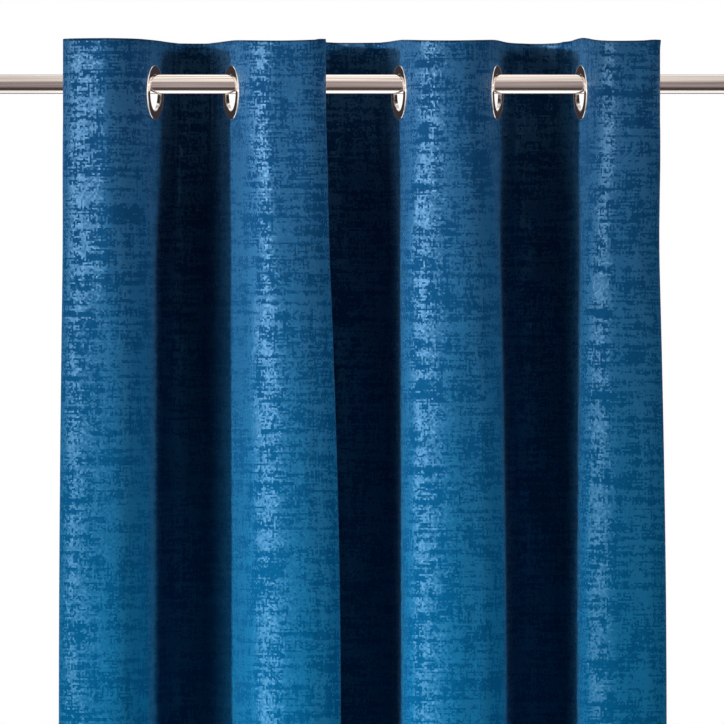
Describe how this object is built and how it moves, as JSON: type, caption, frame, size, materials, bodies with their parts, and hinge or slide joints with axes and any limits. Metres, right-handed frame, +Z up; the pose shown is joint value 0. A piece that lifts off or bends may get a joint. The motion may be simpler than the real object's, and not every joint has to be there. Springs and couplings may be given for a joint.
{
  "type": "eyelet blackout curtain on a rod",
  "caption": "Blackout curtain panel with an eyelet heading, hanging in deep uneven folds from a plain round metal rod that runs through its rings.",
  "frame": {"origin": "middle of the rod's axis, where its supports hold it", "axes": "+X along the rod, to the right as seen from the room; +Y away from the room, towards the wall; +Z up"},
  "size_m": [1.2, 0.15, 1.7526],
  "materials": {
    "curtain_cloth": "distressed velvet face in mottled blue, plain woven reverse",
    "rod_metal": "satin nickel, warm grey, brushed along its length",
    "eyelet_metal": "polished nickel"
  },
  "bodies": {
    "root": {"curtain_panel": "curtain_cloth", "rod": "rod_metal", "eyelet_1_front": "eyelet_metal", "eyelet_1_back": "eyelet_metal", "eyelet_2_front": "eyelet_metal", "eyelet_2_back": "eyelet_metal", "eyelet_3_front": "eyelet_metal", "eyelet_3_back": "eyelet_metal", "eyelet_4_front": "eyelet_metal", "eyelet_4_back": "eyelet_metal", "eyelet_5_front": "eyelet_metal", "eyelet_5_back": "eyelet_metal", "eyelet_6_front": "eyelet_metal", "eyelet_6_back": "eyelet_metal", "eyelet_7_front": "eyelet_metal", "eyelet_7_back": "eyelet_metal", "eyelet_8_front": "eyelet_metal", "eyelet_8_back": "eyelet_metal"}
  },
  "joints": []
}
